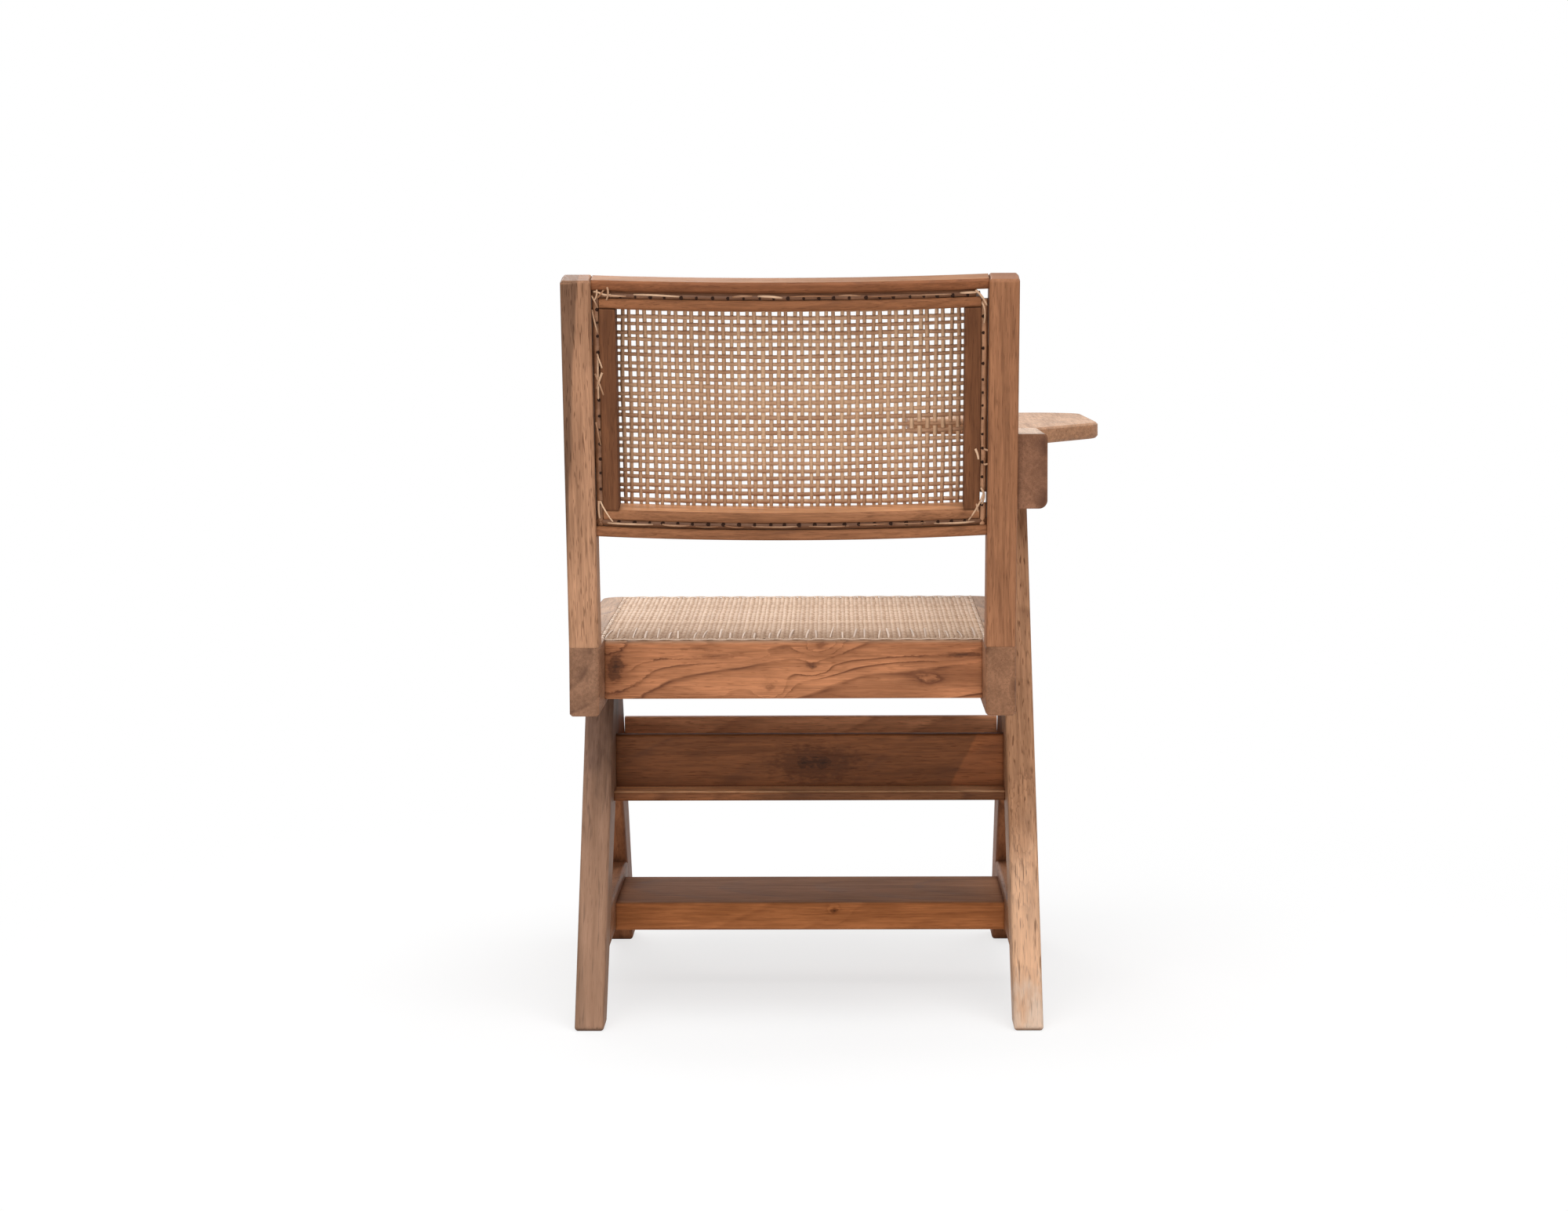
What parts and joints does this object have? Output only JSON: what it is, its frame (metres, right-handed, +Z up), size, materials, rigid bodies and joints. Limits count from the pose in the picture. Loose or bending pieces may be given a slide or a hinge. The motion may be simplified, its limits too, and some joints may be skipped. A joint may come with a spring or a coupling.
{
  "type": "writing chair",
  "caption": "Wooden writing chair with compass legs, woven cane seat, bowed caned back, a paddle-shaped writing tablet on one arm and an open book tray under the seat.",
  "frame": {"origin": "on the floor, below the middle of the whole chair's bounding box", "axes": "+Z up, -Y the way the sitter faces, -X the sitter's right, where the arm and the tablet are"},
  "size_m": [0.589, 0.739, 0.8195],
  "materials": {
    "teak": "oiled, worn",
    "tablet_teak": "oiled, worn smooth",
    "cane": "split cane, aged",
    "seat_cane": "split cane, close weave"
  },
  "bodies": {
    "root": {"arm": "teak", "arm_keys": "teak", "back_bottom_rail": "teak", "back_cane": "cane", "back_cane_lacing": "cane", "back_top_rail": "teak", "cane_frame_blocks": "teak", "cane_frame_bottom_rail": "teak", "cane_frame_left_stile": "teak", "cane_frame_right_stile": "teak", "cane_frame_top_rail": "teak", "foot_plank": "teak", "front_seat_rail": "teak", "left_back_post": "teak", "left_foot_stretcher": "teak", "left_front_leg": "teak", "left_leg_key": "teak", "left_rear_leg": "teak", "left_seat_rail": "teak", "leg_to_rail_keys": "teak", "rear_seat_rail": "teak", "right_back_post": "teak", "right_foot_stretcher": "teak", "right_front_leg": "teak", "right_leg_key": "teak", "right_rear_leg": "teak", "right_seat_rail": "teak", "seat_cane": "seat_cane", "seat_cane_binder": "cane", "tablet_keys": "teak", "tray_bottom": "teak", "tray_front_board": "teak", "tray_pegs": "teak", "tray_rear_board": "teak", "writing_tablet": "tablet_teak"}
  },
  "joints": []
}
